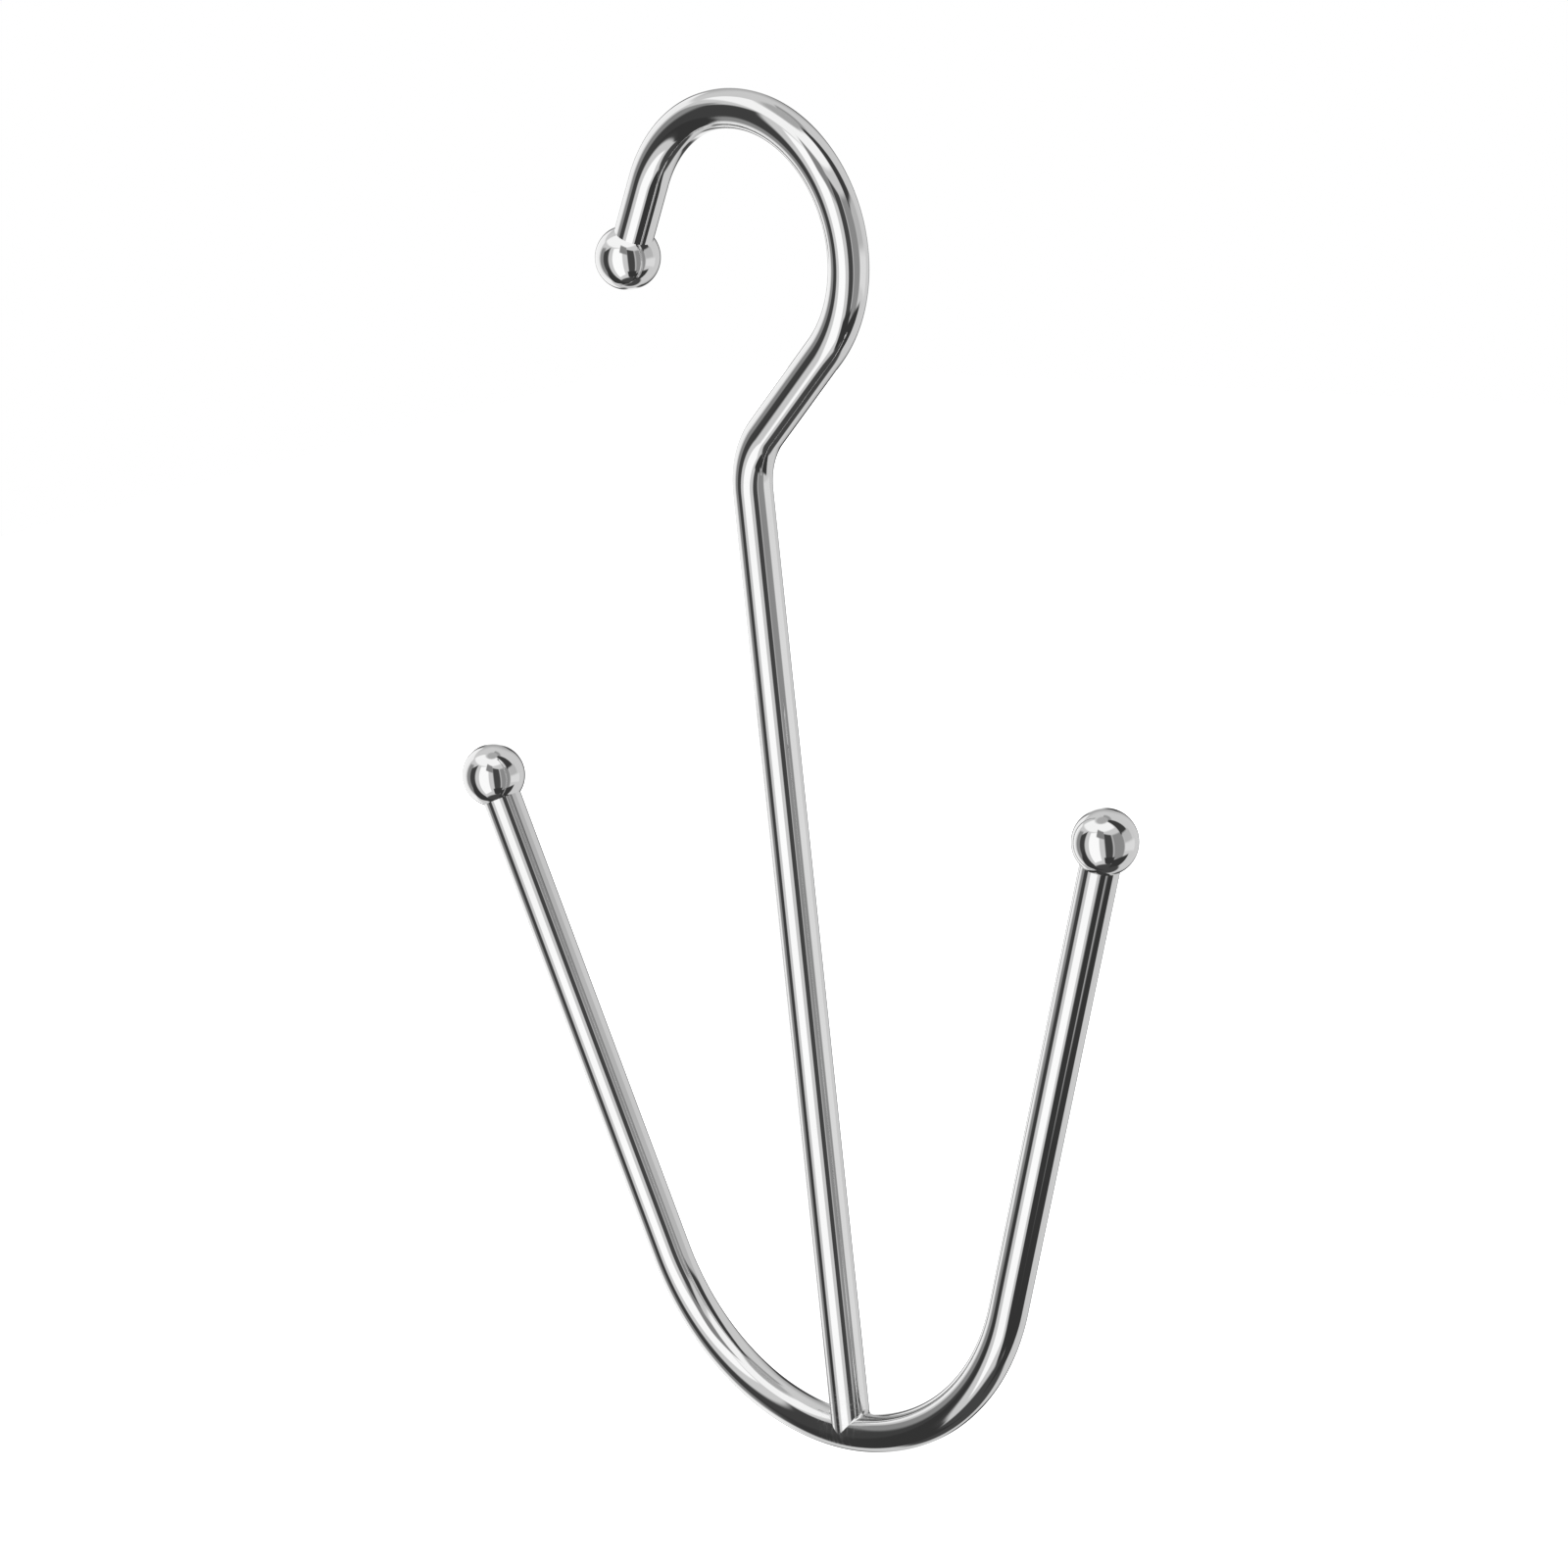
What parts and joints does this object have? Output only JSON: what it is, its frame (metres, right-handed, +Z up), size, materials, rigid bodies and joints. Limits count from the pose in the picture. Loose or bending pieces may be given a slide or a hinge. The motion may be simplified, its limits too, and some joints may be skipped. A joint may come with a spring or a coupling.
{
  "type": "shoe hanger",
  "caption": "Wire hanger: a ball-tipped rail hook on a straight stem, welded to a U-shaped cradle whose flared, ball-tipped arms hold a pair of shoes.",
  "frame": {"origin": "inner face of the hook's wire at the top of its arc, where it rests on the rail", "axes": "+Z up along the stem, +X towards the closed side of the hook, Y along the rail and square to the plane of both wires"},
  "size_m": [0.1342, 0.0098, 0.2084],
  "materials": {
    "polished_wire": "mirror-bright polished stainless steel wire",
    "polished_ball": "mirror-bright polished stainless steel ball",
    "dressed_weld": "weld bead dressed and polished with the wire"
  },
  "bodies": {
    "root": {"hook_stem": "polished_wire", "cradle": "polished_wire", "hook_ball": "polished_ball", "right_ball": "polished_ball", "left_ball": "polished_ball", "right_weld": "dressed_weld", "left_weld": "dressed_weld"}
  },
  "joints": []
}
